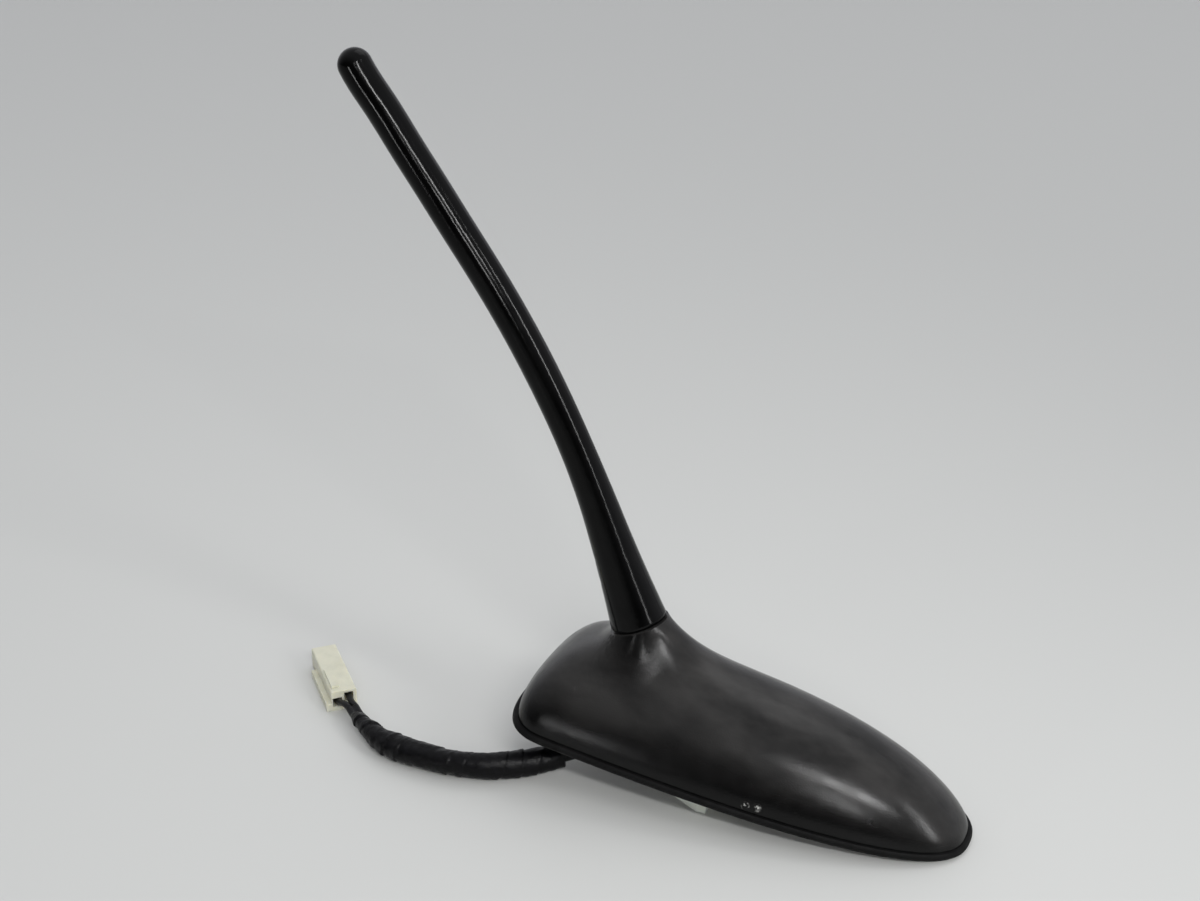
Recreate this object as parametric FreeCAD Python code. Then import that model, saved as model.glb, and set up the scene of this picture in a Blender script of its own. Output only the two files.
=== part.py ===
import FreeCAD, Part
import math
import os

V = FreeCAD.Vector
UP = V(0, 0, 1)

# Shared by all the pieces
fit_clearance = 0.05
same_direction = 0.01

# Plan outline of the base, seen from above, with the roof bolt at the origin and the nose at +X
nose_x = 64.0
rear_x = -56.0
widest_x = -41.0
half_width = 25.1
nose_power = 2.56
rear_power = 3.08
outline_points = 40
wire_edges = 4

# Rubber gasket under the whole base
gasket_thickness = 2.0
gasket_lip = 1.2
gasket_round = 0.5
spigot_clearance = 0.4

# Mast foot and the tilted collar that it sits on
foot_x = -29.9
foot_z = 29.05
mast_rake = math.radians(28.3)
foot_radius = 7.5
foot_round = 1.2
collar_land = 0.25

# Outer surface of the moulded cover
crown_z = 23.1
nose_fullness = 3.4
side_fullness = 1.9
rear_fullness = 1.9
nose_rounding = 1.4
side_rounding = 1.5
rear_rounding = 1.9
spine_length = 36.3
side_flare = 12.0
rear_flare = 8.0
spine_sharpness = 5
flank_power = 3
ring_steps = (0.0, 0.05, 0.12, 0.22, 0.36, 0.54, 0.72, 0.86, 0.94, 0.98, 1.0)

# Inside of the cover
nose_wall = 4.5
side_wall = 3.3
rear_wall = 6.0
cavity_middle_z = 10.0
cavity_ceiling_z = 18.4
inset_halvings = 40
socket_boss_radius = 7.0
screw_boss_radius = 3.2

# Mast: straight foot, one long bend, straight end
mast_length = 160.5
foot_straight = 28.0
bend_radius = 269.6
bend_angle = math.radians(15.3)
mast_radius = 4.3
flare_end = 56.0
flare_power = 2.0
flare_stations = 10
mast_station_gap = 11.0
core_radius = 1.5
winding_radius = 2.6
winding_end_gap = 10.0

# Turned ferrule in the mast foot, with its threaded stud, and the socket that takes it
ferrule_radius = 4.5
ferrule_length = 20.0
ferrule_solid = 10.0
stud_radius = 2.5
stud_length = 9.0
socket_radius = 4.5
socket_length = 14.0
socket_bore_length = 11.0

# Die-cast base plate with its spigot through the roof
plate_thickness = 3.0
plate_clearance = 0.8
spigot_front_x = 6.0
spigot_width = 14.0
spigot_depth = 8.0
bolt_radius = 3.0
bolt_hole_top = 3.0
rear_screw_x = -38.0
rear_screw_inset = 13.1
front_screw_x = 34.0
front_screw_inset = 15.6
cover_screw_radius = 1.4
cover_screw_head_radius = 2.7
cover_screw_head_height = 1.5
cover_screw_length = 9.0
cover_screw_tip_room = 1.0

# Amplifier board on four posts of the base plate
board_rear_x = -18.0
board_front_x = 29.5
board_width = 24.0
board_thickness = 1.6
board_corner = 2.0
post_height = 3.0
post_radius = 2.6
board_screw_inset = 4.0
board_screw_radius = 1.2
board_screw_head_radius = 2.2
board_screw_head_height = 1.4
board_screw_length = 6.0

# Parts on the board
can_rear_x = -2.0
can_length = 19.0
can_width = 15.0
can_height = 4.6
can_wall = 0.4
coil_places = ((21.0, 4.5), (21.0, -4.5))
coil_radius = 2.6
coil_height = 4.2
chip_places = ((2.0, 3.5), (2.0, -3.5), (11.0, 0.0))
chip_length = 3.6
chip_width = 2.4
chip_height = 1.5

# Spring strip that joins the socket to the board
spring_thickness = 0.4
spring_width = 4.0
spring_tab = 3.0
spring_landing_x = -16.5
spring_pad_length = 5.0

# White snap collar round the spigot
clip_top = -2.4
clip_bottom = -9.2
clip_bridge_bottom = -7.4
clip_bridge_x = 0.5
clip_front_x = 8.6
clip_rear_x = -12.0
clip_wing = (
    (clip_front_x, 6.0),
    (clip_front_x - 1.9, 13.2),
    (-1.8, 15.2),
    (clip_rear_x + 1.9, 12.2),
    (clip_rear_x, 9.4),
)
clip_clearance = 0.25
clip_slot_y = 9.0
clip_slot_width = 1.8
clip_slot_rear_x = -11.0
clip_slot_front_x = 2.0
clip_slot_top = -4.4

# Cable through the plate, and the grommet at the back of the spigot
feeder_radius = 2.1
feeder_x = -8.0
feeder_exit_z = -4.2
feeder_bend = 5.0
exit_yaw = math.radians(15)
exit_reach = 8.0
duct_clearance = 0.5
grommet_flange_radius = 3.6
grommet_flange_length = 1.5
grommet_tail_radius = 3.0
grommet_tail_length = 5.5
grommet_plug_length = 3.0

# Lead outside the base: it lies on a surface that the nose and the snap collar rest on
lay_tilt = math.radians(8.35)
lay_contact_x = 63.5
loom_radius = 3.75
lead_straight = 6.0
lead_route = (
    (-33.2, -7.2, -6.6),
    (-39.4, -11.2, -9.6),
    (-46.2, -16.6, -12.0),
    (-54.2, -22.4, -13.4),
    (-64.2, -25.9, -14.8),
    (-75.6, -26.2, -16.4),
    (-87.0, -22.9, -18.1),
    (-96.8, -17.8, -19.6),
    (-103.3, -13.6, -20.5),
)
bare_points = 4
corner_share = 0.45

# Plug on the end of the lead
plug_x = -107.58
plug_y = -9.85
plug_heading = math.radians(134.6)
plug_length = 25.5
plug_width = 7.2
plug_height = 6.0
step_width = 1.5
step_height = 2.4
step_length = 19.5
plug_recess_depth = 3.0
plug_recess_side = 2.6
latch_rear = 2.0
latch_length = 10.0
latch_width = 2.2
latch_height = 0.7
latch_y = 1.9
plug_edge = 0.5
terminal_side = 1.8
terminal_clearance = 0.1
terminal_length = 15.0
terminal_bore = 0.45
signal_y = -1.3
signal_z = 3.9
power_y = 2.0
power_z = 2.6
wire_radius = 0.9
wire_offset = 1.0
wire_lead_out = 2.6

# Values that follow from the ones above
plate_bottom_z = gasket_thickness
plate_top_z = plate_bottom_z + plate_thickness
board_bottom_z = plate_top_z + post_height
board_top_z = board_bottom_z + board_thickness
collar_radius = foot_radius + collar_land
mast_up = V(-math.sin(mast_rake), 0, math.cos(mast_rake))
collar_forward = V(math.cos(mast_rake), 0, math.sin(mast_rake))
foot_centre = V(foot_x, 0, foot_z)
bend_length = bend_radius * bend_angle
dome_start = mast_length - mast_radius
winding_end = mast_length - winding_end_gap
exit_out = V(-math.cos(exit_yaw), -math.sin(exit_yaw), 0)
exit_mouth = V(feeder_x, 0, feeder_exit_z) + exit_out * exit_reach
exit_point = exit_mouth + exit_out * grommet_tail_length


def outline_point(angle, nose_inset, side_inset, rear_inset):
    """Point of the plan outline, moved in by its own amount at the nose, sides and rear."""
    c = math.cos(angle)
    s = math.sin(angle)
    power = nose_power if c >= 0 else rear_power
    reach = nose_x - nose_inset - widest_x if c >= 0 else widest_x - rear_x - rear_inset
    scale = (abs(c) ** power + abs(s) ** power) ** (-1 / power)
    return V(widest_x + reach * c * scale, (half_width - side_inset) * s * scale, 0)


def closed_wire(points):
    """Smooth closed wire through points that are evenly spaced in its parameter."""
    count = len(points)
    curve = Part.BSplineCurve()
    curve.interpolate(Points=points, PeriodicFlag=True, Parameters=list(range(count + 1)))
    marks = [count * k / wire_edges for k in range(wire_edges + 1)]
    return Part.Wire([curve.toShape(a, b) for a, b in zip(marks, marks[1:])])


def outline_angles():
    return [2 * math.pi * k / outline_points for k in range(outline_points)]


def outline_wire(z, nose_inset, side_inset, rear_inset):
    points = [outline_point(a, nose_inset, side_inset, rear_inset) for a in outline_angles()]
    return closed_wire([p + UP * z for p in points])


def outline_prism(z, height, nose_inset, side_inset, rear_inset):
    return Part.Face(outline_wire(z, nose_inset, side_inset, rear_inset)).extrude(UP * height)


def by_side(angle, nose, side, rear):
    """Blend of three values round the base: at the nose, the sides and the rear."""
    c = math.cos(angle)
    end = nose if c >= 0 else rear
    return side + (end - side) * c * c


def body_share(angle, reach):
    """Height of the rounded body, as a share of its crown, at a share of the way to the rim."""
    fullness = by_side(angle, nose_fullness, side_fullness, rear_fullness)
    rounding = by_side(angle, nose_rounding, side_rounding, rear_rounding)
    return max(0.0, 1 - reach ** fullness) ** (1 / rounding)


def collar_edge(bearing):
    """Plan distance from the foot centre to the edge of the tilted collar."""
    along = math.cos(bearing) / (collar_radius * math.cos(mast_rake))
    across = math.sin(bearing) / collar_radius
    return 1 / math.hypot(along, across)


def flare_length(bearing):
    """How far the collar's flank runs out into the body: long to the front, as a spine."""
    c = math.cos(bearing)
    if c >= 0:
        return side_flare + (spine_length - side_flare) * c ** spine_sharpness
    return side_flare + (rear_flare - side_flare) * c * c


def cover_point(angle, step):
    """Point of the cover's outer surface, from the collar edge (step 0) to the rim (step 1)."""
    rim = outline_point(angle, gasket_lip, gasket_lip, gasket_lip)
    ray = rim - V(foot_x, 0, 0)
    bearing = math.atan2(ray.y, ray.x)
    edge = collar_edge(bearing)
    distance = edge + step * (ray.Length - edge)
    x = foot_x + distance * math.cos(bearing)
    y = distance * math.sin(bearing)
    body_height = crown_z - gasket_thickness
    z = gasket_thickness + body_height * body_share(angle, distance / ray.Length)
    flare = flare_length(bearing)
    if distance - edge < flare:
        collar_z = foot_z + edge * math.cos(bearing) * math.tan(mast_rake)
        root_z = gasket_thickness + body_height * body_share(angle, edge / ray.Length)
        z += (collar_z - root_z) * (1 - (distance - edge) / flare) ** flank_power
    return V(x, y, z)


def cover_outer():
    rings = [closed_wire([cover_point(a, t) for a in outline_angles()]) for t in ring_steps]
    return Part.makeLoft(rings, True, False, False, 3)


def cavity_inset(angle, z, wall):
    """How far the cavity lies in from the outline, to leave a wall at one height of the body."""
    inner = 0.0
    outer = 1.0
    for halving in range(inset_halvings):
        middle = (inner + outer) / 2
        height = gasket_thickness + (crown_z - gasket_thickness) * body_share(angle, middle)
        if height > z:
            inner = middle
        else:
            outer = middle
    ray = outline_point(angle, gasket_lip, gasket_lip, gasket_lip) - V(foot_x, 0, 0)
    span = max(abs(ray.x * math.cos(angle)), abs(ray.y * math.sin(angle)))
    return gasket_lip + span * (1 - inner) + wall


def cavity_block():
    """Room inside the cover, drafted in three flat levels from its open foot to its ceiling."""
    rings = []
    for z in (gasket_thickness, cavity_middle_z, cavity_ceiling_z):
        nose = cavity_inset(0, z, nose_wall)
        side = cavity_inset(math.pi / 2, z, side_wall)
        rear = cavity_inset(math.pi, z, rear_wall)
        rings.append(outline_wire(z, nose, side, rear))
    return Part.makeLoft(rings, True, False, False, 3)


def edges_along(block, direction):
    """Edges of a box that run one way."""
    return [e for e in block.Edges if e.tangentAt(e.FirstParameter).cross(direction).Length < same_direction]


def column(radius, place, bottom, height):
    return Part.makeCylinder(radius, height, V(place[0], place[1], bottom), UP)


def mast_rod(radius, start, length):
    """Cylinder on the line of the mast foot, measured up from the collar."""
    return Part.makeCylinder(radius, length, foot_centre + mast_up * start, mast_up)


def base_cover():
    cavity = cavity_block().cut(mast_rod(socket_boss_radius, -socket_length, foot_z))
    for place in cover_screw_places():
        cavity = cavity.cut(column(screw_boss_radius, place, plate_top_z, crown_z))
    cover = cover_outer().cut(cavity)
    cover = cover.cut(mast_rod(socket_radius + fit_clearance, -socket_length, socket_length))
    for place in cover_screw_places():
        hole_depth = cover_screw_length - plate_thickness + cover_screw_tip_room
        cover = cover.cut(column(cover_screw_radius + fit_clearance, place, plate_top_z, hole_depth))
    return cover


def mast_frame(distance):
    """Point and heading of the mast's centre line at a distance up from the collar."""
    if distance <= foot_straight:
        return foot_centre + mast_up * distance, mast_up
    turned = min(distance - foot_straight, bend_length) / bend_radius
    lean = mast_rake + turned
    heading = V(-math.sin(lean), 0, math.cos(lean))
    swing = V(math.cos(lean) - math.cos(mast_rake), 0, math.sin(lean) - math.sin(mast_rake))
    point = foot_centre + mast_up * foot_straight + swing * bend_radius
    beyond = max(0.0, distance - foot_straight - bend_length)
    return point + heading * beyond, heading


def mast_path(start, end):
    """Centre line between two distances, as straight runs and one tangent arc."""
    bend_end = foot_straight + bend_length
    marks = [start]
    for mark in (foot_straight, bend_end):
        if start < mark < end:
            marks.append(mark)
    marks.append(end)
    edges = []
    for near, far in zip(marks, marks[1:]):
        a = mast_frame(near)[0]
        b = mast_frame(far)[0]
        middle = (near + far) / 2
        if foot_straight < middle < bend_end:
            edges.append(Part.Arc(a, mast_frame(middle)[0], b).toShape())
        else:
            edges.append(Part.LineSegment(a, b).toShape())
    return Part.Wire(edges)


def sweep_disc(path, radius, start, heading):
    disc = Part.Wire([Part.Circle(start, heading, radius).toShape()])
    return path.makePipeShell([disc], True, False)


def mast_tube(radius, start, end):
    point, heading = mast_frame(start)
    return sweep_disc(mast_path(start, end), radius, point, heading)


def mast_outside():
    stations = []
    for k in range(flare_stations):
        share = k / flare_stations
        radius = mast_radius + (foot_radius - mast_radius) * (1 - share) ** flare_power
        stations.append((flare_end * share, radius))
    count = math.ceil((dome_start - flare_end) / mast_station_gap)
    for k in range(count + 1):
        stations.append((flare_end + (dome_start - flare_end) * k / count, mast_radius))
    rings = []
    for distance, radius in stations:
        point, heading = mast_frame(distance)
        rings.append(Part.Wire([Part.Circle(point, heading, radius).toShape()]))
    body = Part.makeLoft(rings, True, False, False, 3)
    foot_edges = [e for e in body.Edges if e.BoundBox.ZMax < foot_z + foot_radius]
    body = body.makeFillet(foot_round, foot_edges)
    dome_centre, heading = mast_frame(dome_start)
    dome = Part.makeSphere(mast_radius, dome_centre, heading, 0, 90, 360)
    return body.fuse(dome)


def mast_sheath():
    sheath = mast_outside()
    sheath = sheath.cut(mast_rod(ferrule_radius + fit_clearance, 0, ferrule_length))
    return sheath.cut(mast_tube(winding_radius + fit_clearance, ferrule_length, winding_end))


def mast_core_rod():
    return mast_tube(core_radius, ferrule_solid, winding_end)


def mast_winding():
    bore = mast_tube(core_radius + fit_clearance, ferrule_length, winding_end)
    return mast_tube(winding_radius, ferrule_length, winding_end).cut(bore)


def mast_ferrule():
    body = mast_rod(ferrule_radius, 0, ferrule_length)
    grip = ferrule_length - ferrule_solid
    body = body.cut(mast_rod(core_radius + fit_clearance, ferrule_solid, grip))
    return body.fuse(mast_rod(stud_radius, -stud_length, stud_length)).removeSplitter()


def mast_socket():
    body = mast_rod(socket_radius, -socket_length, socket_length)
    return body.cut(mast_rod(stud_radius + fit_clearance, -socket_bore_length, socket_bore_length))


def base_gasket():
    levels = ((0.0, gasket_round), (gasket_thickness / 2, 0.0), (gasket_thickness, gasket_round))
    rings = [outline_wire(z, inset, inset, inset) for z, inset in levels]
    pad = Part.makeLoft(rings, True, False, False, 3)
    return pad.cut(spigot_prism(0, gasket_thickness, spigot_clearance))


def spigot_prism(bottom, height, clearance):
    """Spigot outline: half round at the front, square to the cable at the back, grown by a clearance."""
    half = spigot_width / 2 + clearance
    round_x = spigot_front_x - spigot_width / 2
    rear = exit_mouth + exit_out * clearance
    slant = math.tan(exit_yaw)
    corners = [
        V(round_x, -half, bottom),
        V(round_x, half, bottom),
        V(rear.x - (half - rear.y) * slant, half, bottom),
        V(rear.x + (half + rear.y) * slant, -half, bottom),
    ]
    block = Part.Face(Part.makePolygon(corners + corners[:1])).extrude(UP * height)
    return block.fuse(column(half, (round_x, 0), bottom, height)).removeSplitter()


def cover_screw_places():
    rear = half_width - rear_screw_inset
    front = half_width - front_screw_inset
    return [(rear_screw_x, rear), (rear_screw_x, -rear), (front_screw_x, front), (front_screw_x, -front)]


def board_screw_places():
    rear = board_rear_x + board_screw_inset
    front = board_front_x - board_screw_inset
    side = board_width / 2 - board_screw_inset
    return [(x, y) for x in (rear, front) for y in (-side, side)]


def feeder_cable():
    """Cable from under the board, round one bend and out through the grommet."""
    top = V(feeder_x, 0, board_bottom_z)
    elbow = V(feeder_x, 0, feeder_exit_z)
    bend_top = elbow + UP * feeder_bend
    bend_end = elbow + exit_out * feeder_bend
    bend_middle = elbow + (UP + exit_out) * (feeder_bend * (1 - math.sqrt(0.5)))
    path = Part.Wire([
        Part.LineSegment(top, bend_top).toShape(),
        Part.Arc(bend_top, bend_middle, bend_end).toShape(),
        Part.LineSegment(bend_end, exit_point).toShape(),
    ])
    return sweep_disc(path, feeder_radius, top, -UP)


def cable_duct():
    """Room for the cable: down through the plate and out at the back of the spigot."""
    half = feeder_radius + duct_clearance
    shaft = column(half, (feeder_x, 0), feeder_exit_z - half, plate_top_z - feeder_exit_z + half)
    elbow = V(feeder_x, 0, feeder_exit_z)
    mouth = Part.makeCylinder(half, exit_reach, elbow, exit_out)
    inside = exit_reach - grommet_plug_length
    bend = Part.makeBox(inside, 2 * half, plate_top_z - feeder_exit_z, V(0, -half, 0))
    bend.rotate(V(0, 0, 0), UP, 180 + math.degrees(exit_yaw))
    bend.translate(elbow)
    return shaft.fuse([mouth, bend])


def base_plate():
    nose = cavity_inset(0, plate_top_z, nose_wall) + plate_clearance
    side = cavity_inset(math.pi / 2, plate_top_z, side_wall) + plate_clearance
    rear = cavity_inset(math.pi, plate_top_z, rear_wall) + plate_clearance
    plate = outline_prism(plate_bottom_z, plate_thickness, nose, side, rear)
    plate = plate.fuse(spigot_prism(-spigot_depth, spigot_depth + plate_top_z, 0))
    for place in board_screw_places():
        plate = plate.fuse(column(post_radius, place, plate_bottom_z, board_bottom_z - plate_bottom_z))
    plate = plate.cut(cable_duct())
    plate = plate.cut(column(bolt_radius, (0, 0), -spigot_depth, spigot_depth + bolt_hole_top))
    for place in cover_screw_places():
        plate = plate.cut(cover_screw(place, fit_clearance))
    for place in board_screw_places():
        plate = plate.cut(board_screw(place, fit_clearance))
    return plate


def cover_screw(place, clearance):
    """Countersunk screw, head down, driven up through the plate into the cover."""
    x, y = place
    base = V(x, y, plate_bottom_z)
    head = Part.makeCone(cover_screw_head_radius + clearance, cover_screw_radius + clearance,
                         cover_screw_head_height, base, UP)
    return head.fuse(column(cover_screw_radius + clearance, place, plate_bottom_z, cover_screw_length))


def cover_screws():
    return Part.makeCompound([cover_screw(place, 0) for place in cover_screw_places()])


def board_screw(place, clearance):
    """Pan-head screw through the board into a post."""
    shank_bottom = board_top_z - board_screw_length
    shank = column(board_screw_radius + clearance, place, shank_bottom, board_screw_length)
    head = column(board_screw_head_radius, place, board_top_z, board_screw_head_height)
    return shank.fuse(head)


def board_screws():
    return Part.makeCompound([board_screw(place, 0) for place in board_screw_places()])


def amplifier_board():
    length = board_front_x - board_rear_x
    corner = V(board_rear_x, -board_width / 2, board_bottom_z)
    board = Part.makeBox(length, board_width, board_thickness, corner)
    board = board.makeFillet(board_corner, edges_along(board, UP))
    for place in board_screw_places():
        board = board.cut(board_screw(place, fit_clearance))
    return board


def shield_can():
    corner = V(can_rear_x, -can_width / 2, board_top_z)
    outside = Part.makeBox(can_length, can_width, can_height, corner)
    rims = [e for e in outside.Edges if e.BoundBox.ZMax > board_top_z + can_wall]
    outside = outside.makeFillet(2 * can_wall, rims)
    inner_corner = corner + V(can_wall, can_wall, 0)
    inside = Part.makeBox(can_length - 2 * can_wall, can_width - 2 * can_wall,
                          can_height - can_wall, inner_corner)
    return outside.cut(inside)


def board_components():
    pieces = [column(coil_radius, place, board_top_z, coil_height) for place in coil_places]
    for x, y in chip_places:
        corner = V(x, y - chip_width / 2, board_top_z)
        pieces.append(Part.makeBox(chip_length, chip_width, chip_height, corner))
    return Part.makeCompound(pieces)


def feed_spring():
    """Bent strip: a tab under the socket, a sloping leaf and a pad on the board."""
    tab_centre = foot_centre - mast_up * socket_length
    line = [
        tab_centre + collar_forward * spring_tab,
        tab_centre - collar_forward * spring_tab,
        V(spring_landing_x, 0, board_top_z),
        V(spring_landing_x + spring_pad_length, 0, board_top_z),
    ]
    sides = []
    for a, b in zip(line, line[1:]):
        along = (b - a).normalize()
        sides.append(V(-along.z, 0, along.x))
    back = [line[0] + sides[0] * spring_thickness]
    for corner, left, right in zip(line[1:], sides, sides[1:]):
        mitre = left + right
        back.append(corner + mitre * (spring_thickness / (1 + left.dot(right))))
    back.append(line[-1] + sides[-1] * spring_thickness)
    profile = Part.makePolygon(line + back[::-1] + line[:1])
    profile.translate(V(0, -spring_width / 2, 0))
    return Part.Face(profile).extrude(V(0, spring_width, 0))


def roof_clip():
    ring = [V(x, -y, clip_bottom) for x, y in clip_wing]
    ring += [V(x, y, clip_bottom) for x, y in reversed(clip_wing)]
    ring.append(ring[0])
    height = clip_top - clip_bottom
    clip = Part.Face(Part.makePolygon(ring)).extrude(UP * height)
    clip = clip.cut(spigot_prism(clip_bottom, height, clip_clearance))
    clip = clip.cut(Part.makeBox(clip_front_x - clip_bridge_x, 2 * half_width,
                                 clip_bridge_bottom - clip_bottom,
                                 V(clip_bridge_x, -half_width, clip_bottom)))
    for side in (-1, 1):
        near = side * clip_slot_y - clip_slot_width / 2
        clip = clip.cut(Part.makeBox(clip_slot_front_x - clip_slot_rear_x, clip_slot_width,
                                     clip_slot_top - clip_bottom,
                                     V(clip_slot_rear_x, near, clip_bottom)))
    return clip


def cable_grommet():
    """Rubber sleeve: a plug in the spigot, a flange and a tapered tail."""
    plug_start = exit_mouth - exit_out * grommet_plug_length
    plug_radius = feeder_radius + duct_clearance - fit_clearance
    tail_start = exit_mouth + exit_out * grommet_flange_length
    tail_length = grommet_tail_length - grommet_flange_length
    body = Part.makeCylinder(plug_radius, grommet_plug_length, plug_start, exit_out)
    body = body.fuse(Part.makeCylinder(grommet_flange_radius, grommet_flange_length, exit_mouth, exit_out))
    tail = Part.makeCone(grommet_flange_radius, grommet_tail_radius, tail_length, tail_start, exit_out)
    body = body.fuse(tail)
    bore_length = grommet_plug_length + grommet_tail_length
    bore = Part.makeCylinder(feeder_radius + fit_clearance, bore_length, plug_start, exit_out)
    return body.removeSplitter().cut(bore)


def rounded_route(points):
    """Straight runs joined by the largest tangent arcs that they allow, and the arcs' radii."""
    edges = []
    radii = []
    cursor = points[0]
    for before, corner, after in zip(points, points[1:], points[2:]):
        run_in = corner - before
        run_out = after - corner
        half_turn = run_in.getAngle(run_out) / 2
        reach = corner_share * min(run_in.Length, run_out.Length)
        radius = reach / math.tan(half_turn)
        start = corner - V(run_in).normalize() * reach
        end = corner + V(run_out).normalize() * reach
        inward = ((start + end) * 0.5 - corner).normalize()
        middle = corner + inward * (radius / math.cos(half_turn) - radius)
        edges.append(Part.LineSegment(cursor, start).toShape())
        edges.append(Part.Arc(start, middle, end).toShape())
        radii.append(radius)
        cursor = end
    edges.append(Part.LineSegment(cursor, points[-1]).toShape())
    return Part.Wire(edges), radii


def cord_tube(name, points, radius):
    path, radii = rounded_route(points)
    heading = (points[1] - points[0]).normalize()
    tube = sweep_disc(path, radius, points[0], heading)
    expected = math.pi * radius ** 2 * path.Length
    print(name, "length", round(path.Length, 1), "radii", [round(r, 1) for r in radii],
          "volume ratio", round(tube.Volume / expected, 4))
    return tube


def lead_points():
    """Whole route of the lead outside the base, from the grommet to the wires."""
    return [exit_point, exit_point + exit_out * lead_straight] + [V(*p) for p in lead_route]


def tape_start():
    """Middle of the run where the tape begins."""
    points = lead_points()
    return (points[bare_points - 1] + points[bare_points]) * 0.5


def plug_placement():
    """The plug lies flat on the tilted surface, tail towards the lead."""
    normal = V(-math.sin(lay_tilt), 0, math.cos(lay_tilt))
    flat = V(math.cos(plug_heading), math.sin(plug_heading), math.cos(plug_heading) * math.tan(lay_tilt))
    ahead = flat.normalize()
    left = normal.cross(ahead)
    origin = V(plug_x, plug_y, (plug_x - lay_contact_x) * math.tan(lay_tilt))
    return FreeCAD.Placement(FreeCAD.Matrix(
        ahead.x, left.x, normal.x, origin.x,
        ahead.y, left.y, normal.y, origin.y,
        ahead.z, left.z, normal.z, origin.z,
        0, 0, 0, 1,
    ))


def placed(shape):
    shape.Placement = plug_placement().multiply(shape.Placement)
    return shape


def terminal_bar(y, z, rear, side, length):
    return Part.makeBox(length, side, side, V(rear, y - side / 2, z - side / 2))


def connector_housing():
    body = Part.makeBox(plug_length, plug_width, plug_height, V(0, -plug_width / 2, 0))
    body = body.makeFillet(plug_edge, edges_along(body, V(1, 0, 0)))
    step = Part.makeBox(step_length, step_width + plug_edge, step_height,
                        V(0, plug_width / 2 - plug_edge, 0))
    latch = Part.makeBox(latch_length, latch_width, latch_height + plug_edge,
                         V(latch_rear, latch_y - latch_width / 2, plug_height - plug_edge))
    body = body.fuse([step, latch])
    cavity_side = terminal_side + 2 * terminal_clearance
    for y, z in terminal_places():
        body = body.cut(terminal_bar(y, z, 0, plug_recess_side, plug_recess_depth))
        body = body.cut(terminal_bar(y, z, plug_recess_depth, cavity_side, plug_length - plug_recess_depth))
    return placed(body.removeSplitter())


def terminal_places():
    return ((signal_y, signal_z), (power_y, power_z))


def connector_terminals():
    bars = []
    for y, z in terminal_places():
        bar = terminal_bar(y, z, plug_recess_depth, terminal_side, terminal_length)
        front = V(plug_recess_depth + terminal_length / 2, y, z)
        bars.append(bar.cut(Part.makeCylinder(terminal_bore, terminal_length / 2, front, V(1, 0, 0))))
    return placed(Part.makeCompound(bars))


def wire_points(side, y, z):
    """Route of one wire from the end of the taped lead into the plug."""
    tail = lead_points()
    heading = (tail[-1] - tail[-2]).normalize()
    across = heading.cross(UP).normalize()
    start = tail[-1] + across * (side * wire_offset)
    placement = plug_placement()
    end = placement.multVec(V(plug_recess_depth, y, z))
    ahead = placement.Rotation.multVec(V(1, 0, 0))
    return [start, start + heading * wire_lead_out, end - ahead * wire_lead_out, end]


def signal_wire():
    return cord_tube("signal_wire", wire_points(1, signal_y, signal_z), wire_radius)


def power_wire():
    return cord_tube("power_wire", wire_points(-1, power_y, power_z), wire_radius)


def bare_lead():
    return cord_tube("bare_lead", lead_points()[:bare_points] + [tape_start()], feeder_radius)


def lead_loom():
    return cord_tube("lead_loom", [tape_start()] + lead_points()[bare_points:], loom_radius)


NODES = {
    "mast_sheath": mast_sheath,
    "mast_core_rod": mast_core_rod,
    "mast_winding": mast_winding,
    "mast_ferrule": mast_ferrule,
    "base_cover": base_cover,
    "mast_socket": mast_socket,
    "feed_spring": feed_spring,
    "amplifier_board": amplifier_board,
    "shield_can": shield_can,
    "board_components": board_components,
    "board_screws": board_screws,
    "base_plate": base_plate,
    "cover_screws": cover_screws,
    "base_gasket": base_gasket,
    "roof_clip": roof_clip,
    "cable_grommet": cable_grommet,
    "feeder_cable": feeder_cable,
    "bare_lead": bare_lead,
    "lead_loom": lead_loom,
    "signal_wire": signal_wire,
    "power_wire": power_wire,
    "connector_housing": connector_housing,
    "connector_terminals": connector_terminals,
}


def main():
    os.makedirs("parts", exist_ok=True)
    for name, make in NODES.items():
        shape = make()
        box = shape.BoundBox
        print(name, "solids", len(shape.Solids), "valid", shape.isValid(), "volume", round(shape.Volume, 1),
              "x", round(box.XMin, 1), round(box.XMax, 1), "y", round(box.YMin, 1), round(box.YMax, 1),
              "z", round(box.ZMin, 1), round(box.ZMax, 1))
        shape.exportStep("parts/" + name + ".step")


main()
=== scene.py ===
import bpy
import math
from mathutils import Matrix, Vector, noise


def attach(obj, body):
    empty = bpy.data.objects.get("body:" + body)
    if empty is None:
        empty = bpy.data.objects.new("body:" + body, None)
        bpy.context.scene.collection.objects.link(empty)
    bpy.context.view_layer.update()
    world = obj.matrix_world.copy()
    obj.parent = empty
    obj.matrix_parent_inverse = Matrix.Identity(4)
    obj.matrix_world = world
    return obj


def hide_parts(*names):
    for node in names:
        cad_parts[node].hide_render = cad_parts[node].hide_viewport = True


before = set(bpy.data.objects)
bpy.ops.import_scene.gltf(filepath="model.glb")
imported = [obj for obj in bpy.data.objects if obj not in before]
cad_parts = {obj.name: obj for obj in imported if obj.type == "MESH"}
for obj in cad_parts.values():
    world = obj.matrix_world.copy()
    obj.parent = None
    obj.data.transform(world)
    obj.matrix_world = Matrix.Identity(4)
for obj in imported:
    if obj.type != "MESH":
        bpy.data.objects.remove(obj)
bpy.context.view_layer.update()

MM = 0.001

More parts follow.
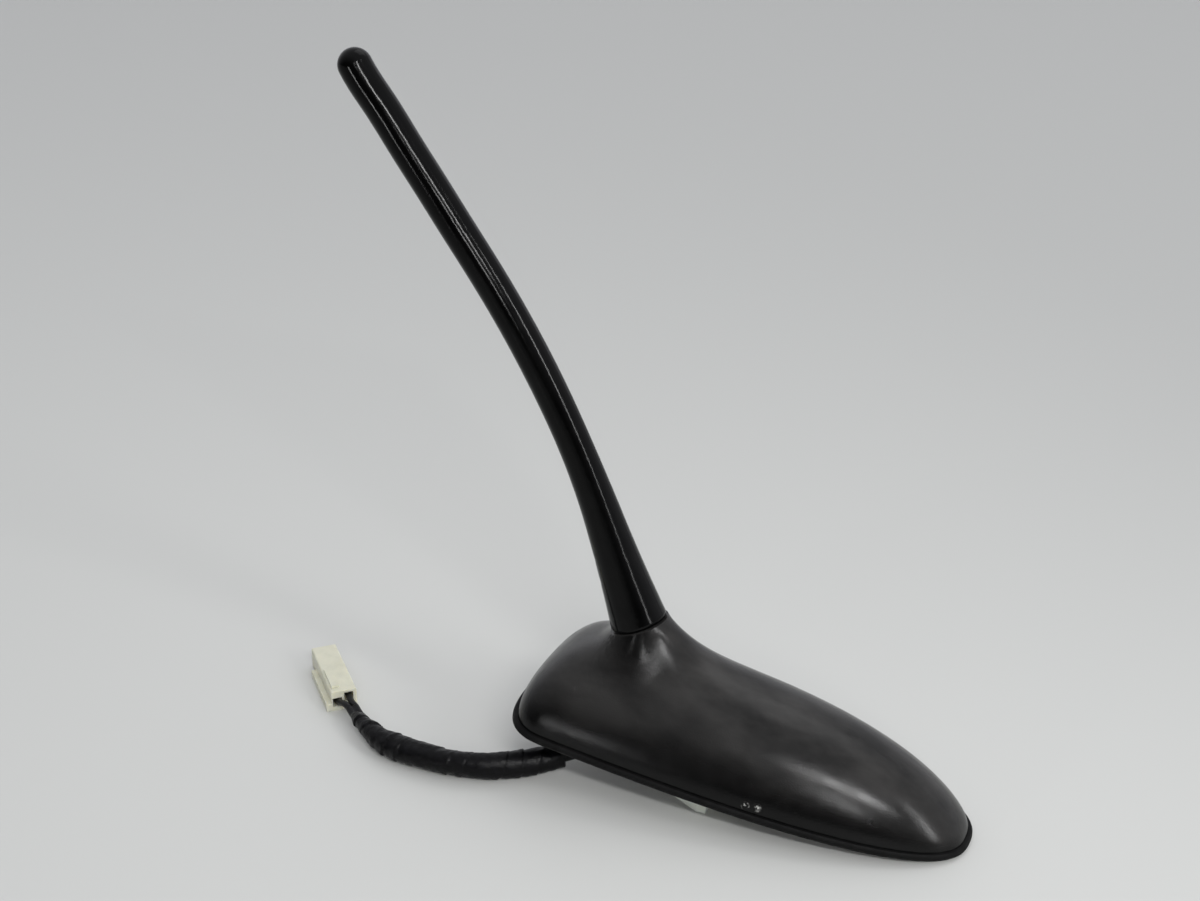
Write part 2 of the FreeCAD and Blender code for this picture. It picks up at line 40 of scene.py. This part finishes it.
# Camera of the photograph, in the frame of the part
PHOTO_WIDTH = 1200
FOCAL_PIXELS = 1700
SENSOR_WIDTH = 36.0
CAMERA_TARGET = Vector((-47.6, 0.0, 73.18)) * MM
CAMERA_DISTANCE = 420.45 * MM
CAMERA_AZIMUTH = math.radians(20.11)
CAMERA_ELEVATION = math.radians(27.35)
CAMERA_ROLL = math.radians(8.6)
CLIP_NEAR = 0.01
CLIP_FAR = 50

# Surface that the nose and the snap collar rest on
FLOOR_TILT = math.radians(8.35)
FLOOR_CONTACT = Vector((63.5, 0.0, 0.0)) * MM
FLOOR_HALF = 6.0
FLOOR_COLOUR = (0.6, 0.605, 0.585)
FLOOR_ROUGHNESS = 0.55

# Room round the part, which grows paler along one direction
ROOM_COLOUR = (0.95, 0.96, 1.0)
ROOM_DIRECTION = (0, 1, 1)
ROOM_RANGE = (-0.6, 0.5)
ROOM_FRONT = 0.06
ROOM_BACK = 0.74

# Point that the lamps face, and the angles that they light
LAMP_TARGET = Vector((-0.02, 0.0, 0.03))
NARROW_BEAM = math.radians(50)
BEAM = math.radians(90)
OPEN_BEAM = math.radians(180)

# Colour of each finish, then the colour of its marks
# The cover's marks are dust that also paints light from above on what faces up
COVER_COLOURS = (0.001, 0.001, 0.001), (0.04, 0.0385, 0.037)
MAST_COLOURS = (0.0004, 0.0004, 0.0004), (0.0015, 0.0015, 0.0015)
RUBBER_COLOURS = (0.001, 0.001, 0.001), (0.004, 0.004, 0.004)
TAPE_COLOURS = (0.0006, 0.0006, 0.0008), (0.003, 0.0028, 0.0038)
WIRE_COLOURS = (0.002, 0.002, 0.002), (0.005, 0.005, 0.005)
ACETAL_COLOURS = (0.74, 0.77, 0.7), (0.66, 0.69, 0.62)
NYLON_COLOURS = (0.65, 0.64, 0.52), (0.58, 0.575, 0.46)
BRASS_COLOURS = (0.78, 0.57, 0.24), (0.55, 0.38, 0.15)
BRONZE_COLOURS = (0.74, 0.5, 0.27), (0.52, 0.34, 0.18)
STEEL_COLOURS = (0.66, 0.66, 0.68), (0.45, 0.45, 0.46)
COPPER_COLOURS = (0.8, 0.38, 0.2), (0.55, 0.22, 0.1)
TIN_COLOURS = (0.72, 0.72, 0.72), (0.5, 0.5, 0.5)
CAST_COLOURS = (0.42, 0.42, 0.43), (0.28, 0.28, 0.29)
BOARD_COLOURS = (0.012, 0.11, 0.045), (0.03, 0.19, 0.07)
FIBRE_COLOURS = (0.74, 0.7, 0.55), (0.6, 0.56, 0.42)
CHIP_COLOURS = (0.014, 0.014, 0.015), (0.03, 0.03, 0.03)

# Ranges of noise over which marks and gloss go from one end to the other, and noise that isn't stretched
MARK_RANGE = (0.35, 0.7)
GLOSS_RANGE = (0.3, 0.7)
EVEN = (1, 1, 1)

# Sockets of a node that mixes two colours
MIX_FIRST = 6
MIX_SECOND = 7
MIX_RESULT = 2

# Upward part of a surface's normal over which the paler film goes from none to full: dust, and also
# painted light from above
DUST_AND_PAINTED_LIGHT_RANGE = (0.35, 0.9)

# Scuffs low on the near side of the cover
SCUFF_PLACES = [Vector(p) * MM for p in ((11.7, -21.9, 3.5), (14.6, -21.5, 3.9))]
SCUFF_SIZE = 1.2 * MM
SCUFF_CORE = 0.3
SCUFF_RANGE = (0.46, 0.6)
SCUFF_COLOUR = (0.4, 0.4, 0.38)

# Depth to which light scatters in the pale plastics, and its share of red, green and blue
SCATTER_DEPTH = 1.5 * MM
SCATTER_SHARES = (1.0, 0.9, 0.7)

# Route of the lead: the points of the solids, with the ninth and tenth moved to follow the photograph
LEAD_ROUTE = [Vector(p) * MM for p in (
    (-21.040, -3.494, -4.2),
    (-26.835, -5.047, -4.2),
    (-33.2, -7.2, -6.6),
    (-39.4, -11.2, -9.6),
    (-46.2, -16.6, -12.0),
    (-54.2, -22.4, -13.4),
    (-64.2, -25.9, -14.8),
    (-75.6, -26.2, -16.4),
    (-87.0, -24.9, -18.1),
    (-97.0, -19.4, -19.6),
    (-103.3, -13.6, -20.5),
)]
LEAD_SIDES = 36
LEAD_ORDER = 3
LEAD_RESOLUTION = 40
BARE_RADIUS = 2.1 * MM

# Tape: its turns, then how it thins out towards the wires, lies flat and wrinkles
TAPE_RADIUS = 3.3 * MM
TAPE_START = 24.0 * MM
TAPE_PITCH = 6.5 * MM
TAPE_STEP = 0.27 * MM
TAPE_UNEVEN = 0.3
TAPE_WANDER = 17.0 * MM
TAPE_TAPER = 26.0 * MM
TAPE_END_RADIUS = 1.5 * MM
TAPE_FLATNESS = 0.06
TAPE_WRINKLE = 0.16 * MM
WRINKLES_ROUND = 2
WRINKLES_A_MM = 0.6

# Noise that makes the step of each turn of tape differ, and how much
LAP_CHANGE = 1.8
LAP_STRIDE = 1.7
LAP_OFFSET = (0.3, 0.6)

# Ragged edge of the tape: its reach, the share, count and turn of its teeth, and its share at the wires
RAGGED_REACH = 1.6 * MM
RAGGED_SHARE = 0.6
RAGGED_TEETH = 3
RAGGED_TURN = 1.0
RAGGED_AT_WIRES = 0.4

# Two wires that come out of the tape
WIRES_SHOWN = 4.5 * MM
WIRES_BLEND = 1.2 * MM
WIRE_RADIUS = 0.9 * MM
WIRE_OFFSET = 1.0 * MM
WIRE_WAIST = 0.5 * MM


def make_camera():
    """Camera at the photograph's angle, distance and roll."""
    azimuth, elevation, roll = CAMERA_AZIMUTH, CAMERA_ELEVATION, CAMERA_ROLL
    back = Vector((
        math.sin(azimuth) * math.cos(elevation),
        -math.cos(azimuth) * math.cos(elevation),
        math.sin(elevation),
    ))
    level = Vector((math.cos(azimuth), math.sin(azimuth), 0))
    above = back.cross(level)
    right = level * math.cos(roll) + above * math.sin(roll)
    up = above * math.cos(roll) - level * math.sin(roll)
    data = bpy.data.cameras.new("photo_camera")
    data.sensor_fit = "HORIZONTAL"
    data.sensor_width = SENSOR_WIDTH
    data.lens = SENSOR_WIDTH * FOCAL_PIXELS / PHOTO_WIDTH
    data.clip_start = CLIP_NEAR
    data.clip_end = CLIP_FAR
    camera = bpy.data.objects.new("photo_camera", data)
    bpy.context.collection.objects.link(camera)
    turn = Matrix((right, up, back)).transposed().to_4x4()
    camera.matrix_world = Matrix.Translation(CAMERA_TARGET + back * CAMERA_DISTANCE) @ turn
    bpy.context.scene.camera = camera


# Small helpers for node materials

def start_material(name):
    material = bpy.data.materials.new(name)
    material.use_nodes = True
    tree = material.node_tree
    shader = tree.nodes["Principled BSDF"]
    return material, tree, shader


def add_noise(tree, scale, detail, stretch=EVEN):
    """Noise in the frame of the part; scale is in features a metre."""
    coordinates = tree.nodes.new("ShaderNodeTexCoord")
    mapping = tree.nodes.new("ShaderNodeMapping")
    mapping.inputs["Scale"].default_value = stretch
    texture = tree.nodes.new("ShaderNodeTexNoise")
    texture.inputs["Scale"].default_value = scale
    texture.inputs["Detail"].default_value = detail
    tree.links.new(coordinates.outputs["Object"], mapping.inputs["Vector"])
    tree.links.new(mapping.outputs["Vector"], texture.inputs["Vector"])
    return texture.outputs["Fac"]


def add_ramp(tree, source, span, low_value=0.0, high_value=1.0):
    """Maps a span of another node's output to a range of values."""
    node = tree.nodes.new("ShaderNodeMapRange")
    node.inputs["From Min"].default_value = span[0]
    node.inputs["From Max"].default_value = span[1]
    node.inputs["To Min"].default_value = low_value
    node.inputs["To Max"].default_value = high_value
    tree.links.new(source, node.inputs["Value"])
    return node.outputs["Result"]


def add_marks(tree, scale, detail, span=MARK_RANGE, weakest=0.0, stretch=EVEN):
    """Patches of noise with values from weakest to 1."""
    return add_ramp(tree, add_noise(tree, scale, detail, stretch), span, weakest)


def add_mix(tree, factor, first, second):
    """Colour that goes from first to second; either may be a colour or another node's output."""
    node = tree.nodes.new("ShaderNodeMix")
    node.data_type = "RGBA"
    tree.links.new(factor, node.inputs["Factor"])
    for index, colour in ((MIX_FIRST, first), (MIX_SECOND, second)):
        if isinstance(colour, tuple):
            node.inputs[index].default_value = (*colour, 1)
        else:
            tree.links.new(colour, node.inputs[index])
    return node.outputs[MIX_RESULT]


def add_product(tree, first, second):
    node = tree.nodes.new("ShaderNodeMath")
    node.operation = "MULTIPLY"
    tree.links.new(first, node.inputs[0])
    tree.links.new(second, node.inputs[1])
    return node.outputs["Value"]


def add_upward(tree):
    """How far a surface faces up, from 0 on a wall to 1 on a flat top."""
    geometry = tree.nodes.new("ShaderNodeNewGeometry")
    parts = tree.nodes.new("ShaderNodeSeparateXYZ")
    tree.links.new(geometry.outputs["Normal"], parts.inputs["Vector"])
    # Ramp of the cover's dust, which also paints light from above on what faces up
    return add_ramp(tree, parts.outputs["Z"], DUST_AND_PAINTED_LIGHT_RANGE)


def add_scuff(tree, colour, place):
    """Small chalky scrape round one place of the surface."""
    coordinates = tree.nodes.new("ShaderNodeTexCoord")
    gap = tree.nodes.new("ShaderNodeVectorMath")
    gap.operation = "DISTANCE"
    gap.inputs[1].default_value = place
    tree.links.new(coordinates.outputs["Object"], gap.inputs[0])
    near = add_ramp(tree, gap.outputs["Value"], (SCUFF_SIZE, SCUFF_CORE * SCUFF_SIZE))
    grain = add_marks(tree, scale=1300, detail=4, span=SCUFF_RANGE)
    return add_mix(tree, add_product(tree, near, grain), colour, SCUFF_COLOUR)


def set_colour(tree, shader, marks, colours):
    """Plain colour with marks of a second one."""
    tree.links.new(add_mix(tree, marks, *colours), shader.inputs["Base Color"])


def set_gloss(tree, shader, scale, detail, smooth, rough, stretch=EVEN):
    """Roughness that varies in patches between two values."""
    gloss = add_ramp(tree, add_noise(tree, scale, detail, stretch), GLOSS_RANGE, smooth, rough)
    tree.links.new(gloss, shader.inputs["Roughness"])


def set_bump(tree, shader, height, depth, strength):
    node = tree.nodes.new("ShaderNodeBump")
    node.inputs["Strength"].default_value = strength
    node.inputs["Distance"].default_value = depth
    tree.links.new(height, node.inputs["Height"])
    tree.links.new(node.outputs["Normal"], shader.inputs["Normal"])


def set_grain(tree, shader, scale, detail, depth, strength, stretch=EVEN):
    """Fine unevenness of the surface."""
    set_bump(tree, shader, add_noise(tree, scale, detail, stretch), depth, strength)


# The finishes

def cover_plastic():
    """Satin black moulding: fine grain, a paler film on what faces up that is dust and also painted
    light from above, patchy gloss, two scuffs.
    """
    material, tree, shader = start_material("cover_plastic")
    blotch = add_marks(tree, scale=90, detail=6, span=(0.36, 0.66), weakest=0.25, stretch=(0.5, 1, 1))
    # Paler where the cover faces up: dust, and also painted light from above
    dust_and_painted_light = add_product(tree, add_upward(tree), blotch)
    colour = add_mix(tree, dust_and_painted_light, *COVER_COLOURS)
    for place in SCUFF_PLACES:
        colour = add_scuff(tree, colour, place)
    tree.links.new(colour, shader.inputs["Base Color"])
    set_gloss(tree, shader, scale=220, detail=5, smooth=0.17, rough=0.26)
    shader.inputs["Specular IOR Level"].default_value = 0.22
    set_grain(tree, shader, scale=2600, detail=3, depth=0.05 * MM, strength=0.6)
    return material


def mast_skin():
    """Smooth semi-gloss skin with faint handling marks."""
    material, tree, shader = start_material("mast_skin")
    set_colour(tree, shader, add_marks(tree, scale=160, detail=5), MAST_COLOURS)
    set_gloss(tree, shader, scale=300, detail=4, smooth=0.12, rough=0.16)
    shader.inputs["Specular IOR Level"].default_value = 0.14
    set_grain(tree, shader, scale=1800, detail=2, depth=0.01 * MM, strength=0.4)
    return material


def matte_rubber():
    """Dull black rubber with a little bloom."""
    material, tree, shader = start_material("matte_rubber")
    set_colour(tree, shader, add_marks(tree, scale=240, detail=5, span=(0.45, 0.75)), RUBBER_COLOURS)
    set_gloss(tree, shader, scale=500, detail=3, smooth=0.55, rough=0.72)
    shader.inputs["Specular IOR Level"].default_value = 0.15
    set_grain(tree, shader, scale=3000, detail=2, depth=0.06 * MM, strength=0.5)
    return material


def wound_tape():
    """Black vinyl tape: a slight shine and faint streaks."""
    material, tree, shader = start_material("wound_tape")
    streaks = add_marks(tree, scale=700, detail=5, span=(0.4, 0.72), stretch=(1, 1, 2.5))
    set_colour(tree, shader, streaks, TAPE_COLOURS)
    set_gloss(tree, shader, scale=900, detail=4, smooth=0.28, rough=0.48)
    shader.inputs["Specular IOR Level"].default_value = 0.15
    set_grain(tree, shader, scale=1500, detail=4, depth=0.12 * MM, strength=0.7)
    return material


def wire_jacket():
    """Smooth black insulation."""
    material, tree, shader = start_material("wire_jacket")
    set_colour(tree, shader, add_marks(tree, scale=600, detail=3), WIRE_COLOURS)
    set_gloss(tree, shader, scale=900, detail=3, smooth=0.34, rough=0.46)
    shader.inputs["Specular IOR Level"].default_value = 0.2
    return material


def pale_plastic(name, colours, scatter):
    """Translucent pale moulding with faint flow marks."""
    material, tree, shader = start_material(name)
    set_colour(tree, shader, add_marks(tree, scale=260, detail=4, stretch=(1, 1, 0.4)), colours)
    shader.inputs["Roughness"].default_value = 0.42
    shader.inputs["Subsurface Weight"].default_value = scatter
    shader.inputs["Subsurface Radius"].default_value = SCATTER_SHARES
    shader.inputs["Subsurface Scale"].default_value = SCATTER_DEPTH
    set_grain(tree, shader, scale=1400, detail=3, depth=0.04 * MM, strength=0.4)
    return material


def metal(name, colours, smooth, rough, stretch=EVEN):
    """Bare metal with patches of tarnish, which stretch can draw out or press together."""
    material, tree, shader = start_material(name)
    set_colour(tree, shader, add_marks(tree, scale=350, detail=5, stretch=stretch), colours)
    set_gloss(tree, shader, scale=900, detail=4, smooth=smooth, rough=rough, stretch=stretch)
    shader.inputs["Metallic"].default_value = 1.0
    set_grain(tree, shader, scale=2500, detail=3, depth=0.04 * MM, strength=0.4, stretch=stretch)
    return material


def solder_mask():
    """Green board with raised tracks that are paler under the mask."""
    material, tree, shader = start_material("solder_mask")
    tracks = add_marks(tree, scale=420, detail=1, span=(0.49, 0.52), stretch=(0.3, 1, 1))
    set_colour(tree, shader, tracks, BOARD_COLOURS)
    shader.inputs["Roughness"].default_value = 0.3
    set_bump(tree, shader, tracks, depth=0.04 * MM, strength=0.5)
    return material


def drawn_fibre():
    """Pale glass-fibre rod with strands along it."""
    material, tree, shader = start_material("drawn_fibre")
    set_colour(tree, shader, add_marks(tree, scale=2600, detail=2, stretch=(1, 1, 0.1)), FIBRE_COLOURS)
    shader.inputs["Roughness"].default_value = 0.4
    return material


def chip_black():
    """Moulded component bodies."""
    material, tree, shader = start_material("chip_black")
    set_colour(tree, shader, add_marks(tree, scale=1800, detail=3), CHIP_COLOURS)
    shader.inputs["Roughness"].default_value = 0.5
    return material


def dress_nodes():
    """Gives every solid that shows as CAD made it its material."""
    rubber = matte_rubber()
    wire = wire_jacket()
    brass = metal("turned_brass", BRASS_COLOURS, smooth=0.22, rough=0.36)
    bronze = metal("spring_bronze", BRONZE_COLOURS, smooth=0.25, rough=0.4)
    steel = metal("plated_steel", STEEL_COLOURS, smooth=0.25, rough=0.42)
    looks = {
        "mast_sheath": mast_skin(),
        "mast_core_rod": drawn_fibre(),
        "mast_winding": metal("copper_wire", COPPER_COLOURS, smooth=0.25, rough=0.4, stretch=(1, 1, 6)),
        "mast_ferrule": brass,
        "base_cover": cover_plastic(),
        "mast_socket": brass,
        "feed_spring": bronze,
        "amplifier_board": solder_mask(),
        "shield_can": metal("tin_plate", TIN_COLOURS, smooth=0.28, rough=0.45),
        "board_components": chip_black(),
        "board_screws": steel,
        "base_plate": metal("die_cast", CAST_COLOURS, smooth=0.45, rough=0.62),
        "cover_screws": steel,
        "base_gasket": rubber,
        "roof_clip": pale_plastic("white_acetal", ACETAL_COLOURS, scatter=0.15),
        "cable_grommet": rubber,
        "feeder_cable": wire,
        "signal_wire": wire,
        "power_wire": wire,
        "connector_housing": pale_plastic("milky_nylon", NYLON_COLOURS, scatter=0.5),
        "connector_terminals": bronze,
    }
    for name, material in looks.items():
        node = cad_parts[name]
        node.data.materials.clear()
        node.data.materials.append(material)


# The taped lead

def lead_line():
    """Points along the lead, read from a smooth spline with the route as its control points."""
    curve = bpy.data.curves.new("lead_route", "CURVE")
    curve.dimensions = "3D"
    curve.resolution_u = LEAD_RESOLUTION
    spline = curve.splines.new("NURBS")
    spline.points.add(len(LEAD_ROUTE) - 1)
    for point, place in zip(spline.points, LEAD_ROUTE):
        point.co = (*place, 1)
    spline.order_u = LEAD_ORDER
    spline.use_endpoint_u = True
    carrier = bpy.data.objects.new("lead_route", curve)
    line = bpy.data.meshes.new_from_object(carrier)
    points = [v.co.copy() for v in line.vertices]
    bpy.data.objects.remove(carrier)
    bpy.data.meshes.remove(line)
    bpy.data.curves.remove(curve)
    return points


def wire_pair_radius(angle):
    """Outline of two wires that lie side by side."""
    reach = WIRE_OFFSET * abs(math.sin(angle))
    inside = WIRE_RADIUS ** 2 - (WIRE_OFFSET * math.cos(angle)) ** 2
    if inside < 0:
        return WIRE_WAIST
    return max(WIRE_WAIST, reach + math.sqrt(inside))


def tape_radius(distance, angle, left):
    """Outside of the tape: lapped turns of uneven pitch that thin out towards the wires."""
    body = TAPE_RADIUS
    if left < TAPE_TAPER:
        share = left / TAPE_TAPER
        body = TAPE_END_RADIUS + (TAPE_RADIUS - TAPE_END_RADIUS) * share
    wander = TAPE_UNEVEN * math.sin(2 * math.pi * distance / TAPE_WANDER)
    turns = distance / TAPE_PITCH + wander + angle / (2 * math.pi)
    whole = math.floor(turns)
    change = LAP_CHANGE * noise.noise(Vector((whole * LAP_STRIDE, *LAP_OFFSET)))
    lap = TAPE_STEP * (1 + change) * (1 - (turns - whole))
    flat = 1 + TAPE_FLATNESS * math.cos(2 * angle + distance / TAPE_PITCH)
    spot = Vector((
        math.cos(angle) * WRINKLES_ROUND,
        math.sin(angle) * WRINKLES_ROUND,
        distance / MM * WRINKLES_A_MM,
    ))
    return body * flat + lap + TAPE_WRINKLE * noise.noise(spot)


def lead_radius(distance, angle, length):
    """Radius of the lead: a bare cable, then the tape, then the two wires."""
    teeth = RAGGED_SHARE * math.sin(RAGGED_TEETH * angle + RAGGED_TURN)
    ragged = RAGGED_REACH * (math.sin(angle) + teeth)
    if distance < TAPE_START + ragged:
        return BARE_RADIUS
    left = length - distance
    taped = tape_radius(distance, angle, left)
    share = (left - WIRES_SHOWN - RAGGED_AT_WIRES * ragged) / WIRES_BLEND
    share = min(1.0, max(0.0, share))
    return wire_pair_radius(angle) * (1 - share) + taped * share


def lead_vertices(line):
    """Rings of points round the line."""
    distances = [0.0]
    for a, b in zip(line, line[1:]):
        distances.append(distances[-1] + (b - a).length)
    length = distances[-1]
    side = Vector((0, 0, 1))
    vertices = []
    for k, point in enumerate(line):
        ahead = (line[min(k + 1, len(line) - 1)] - line[max(k - 1, 0)]).normalized()
        side = (side - ahead * side.dot(ahead)).normalized()
        across = ahead.cross(side)
        for j in range(LEAD_SIDES):
            angle = 2 * math.pi * j / LEAD_SIDES
            radius = lead_radius(distances[k], angle, length)
            vertices.append(point + (side * math.cos(angle) + across * math.sin(angle)) * radius)
    return vertices


def lead_faces(rings):
    """Four-sided faces between the rings, then a cap at each end."""
    faces = []
    for k in range(rings - 1):
        for j in range(LEAD_SIDES):
            a = k * LEAD_SIDES + j
            b = k * LEAD_SIDES + (j + 1) % LEAD_SIDES
            faces.append((a, b, b + LEAD_SIDES, a + LEAD_SIDES))
    last = (rings - 1) * LEAD_SIDES
    faces.append(tuple(reversed(range(LEAD_SIDES))))
    faces.append(tuple(range(last, last + LEAD_SIDES)))
    return faces


def make_lead():
    """Lead that shows in place of the two plain solids, and is the part's cord."""
    line = lead_line()
    faces = lead_faces(len(line))
    mesh = bpy.data.meshes.new("taped_lead")
    mesh.from_pydata(lead_vertices(line), [], faces)
    mesh.polygons.foreach_set("use_smooth", [len(f) == 4 for f in faces])
    lead = bpy.data.objects.new("taped_lead", mesh)
    bpy.context.collection.objects.link(lead)
    mesh.materials.append(wound_tape())
    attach(lead, "root")
    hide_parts("bare_lead", "lead_loom")


# The room

def make_floor():
    """Plain pale surface, tilted as the aerial lies on it."""
    material, _, shader = start_material("pale_floor")
    shader.inputs["Base Color"].default_value = (*FLOOR_COLOUR, 1)
    shader.inputs["Roughness"].default_value = FLOOR_ROUGHNESS
    mesh = bpy.data.meshes.new("floor")
    signs = ((-1, -1), (1, -1), (1, 1), (-1, 1))
    corners = [(sx * FLOOR_HALF, sy * FLOOR_HALF, 0) for sx, sy in signs]
    mesh.from_pydata(corners, [], [(0, 1, 2, 3)])
    mesh.materials.append(material)
    floor = bpy.data.objects.new("floor", mesh)
    bpy.context.collection.objects.link(floor)
    floor.matrix_world = Matrix.Translation(FLOOR_CONTACT) @ Matrix.Rotation(-FLOOR_TILT, 4, "Y")


def add_lamp(name, place, length, width, power, along=(1, 0, 0), beam=BEAM):
    """Soft panel that faces the target, with its long side near one direction."""
    data = bpy.data.lights.new(name, "AREA")
    data.shape = "RECTANGLE"
    data.size = length
    data.size_y = width
    data.energy = power
    data.spread = beam
    lamp = bpy.data.objects.new(name, data)
    bpy.context.collection.objects.link(lamp)
    back = (Vector(place) - LAMP_TARGET).normalized()
    side = Vector(along)
    side = (side - back * side.dot(back)).normalized()
    turn = Matrix((side, back.cross(side), back)).transposed().to_4x4()
    lamp.matrix_world = Matrix.Translation(place) @ turn


def make_world():
    """A room that is pale above and behind the part, and dim low in front of it."""
    world = bpy.data.worlds.new("room")
    world.use_nodes = True
    tree = world.node_tree
    coordinates = tree.nodes.new("ShaderNodeTexCoord")
    height = tree.nodes.new("ShaderNodeVectorMath")
    height.operation = "DOT_PRODUCT"
    height.inputs[1].default_value = ROOM_DIRECTION
    tree.links.new(coordinates.outputs["Generated"], height.inputs[0])
    background = tree.nodes["Background"]
    background.inputs["Color"].default_value = (*ROOM_COLOUR, 1)
    strength = add_ramp(tree, height.outputs["Value"], ROOM_RANGE, ROOM_FRONT, ROOM_BACK)
    tree.links.new(strength, background.inputs["Strength"])
    bpy.context.scene.world = world


def make_light():
    """Lamps whose reflections draw the lines of light on the cover and the mast, and a soft ceiling."""
    add_lamp(
        "tube", place=(0.32, -0.61, 0.69), along=(0.91, 0.37, -0.19),
        length=0.4, width=0.045, power=0.85,
    )
    add_lamp(
        "low_tube", place=(0.28, -0.8, 0.47), along=(0.6, 0.0, -0.7),
        length=0.15, width=0.06, power=0.22,
    )
    add_lamp(
        "window", place=(0.695, -0.228, 0.505), along=(0.21, -0.165, -0.53),
        length=0.6, width=0.04, power=0.22, beam=NARROW_BEAM,
    )
    add_lamp("low_left", place=(-0.32, -0.86, 0.09), length=0.07, width=0.07, power=0.1)
    add_lamp("ceiling", place=(-0.1, 0.9, 1.8), length=1.2, width=1.2, power=4.2, beam=OPEN_BEAM)
    make_world()


bpy.context.scene.view_settings.view_transform = "Standard"
make_camera()
make_lead()
dress_nodes()
make_floor()
make_light()
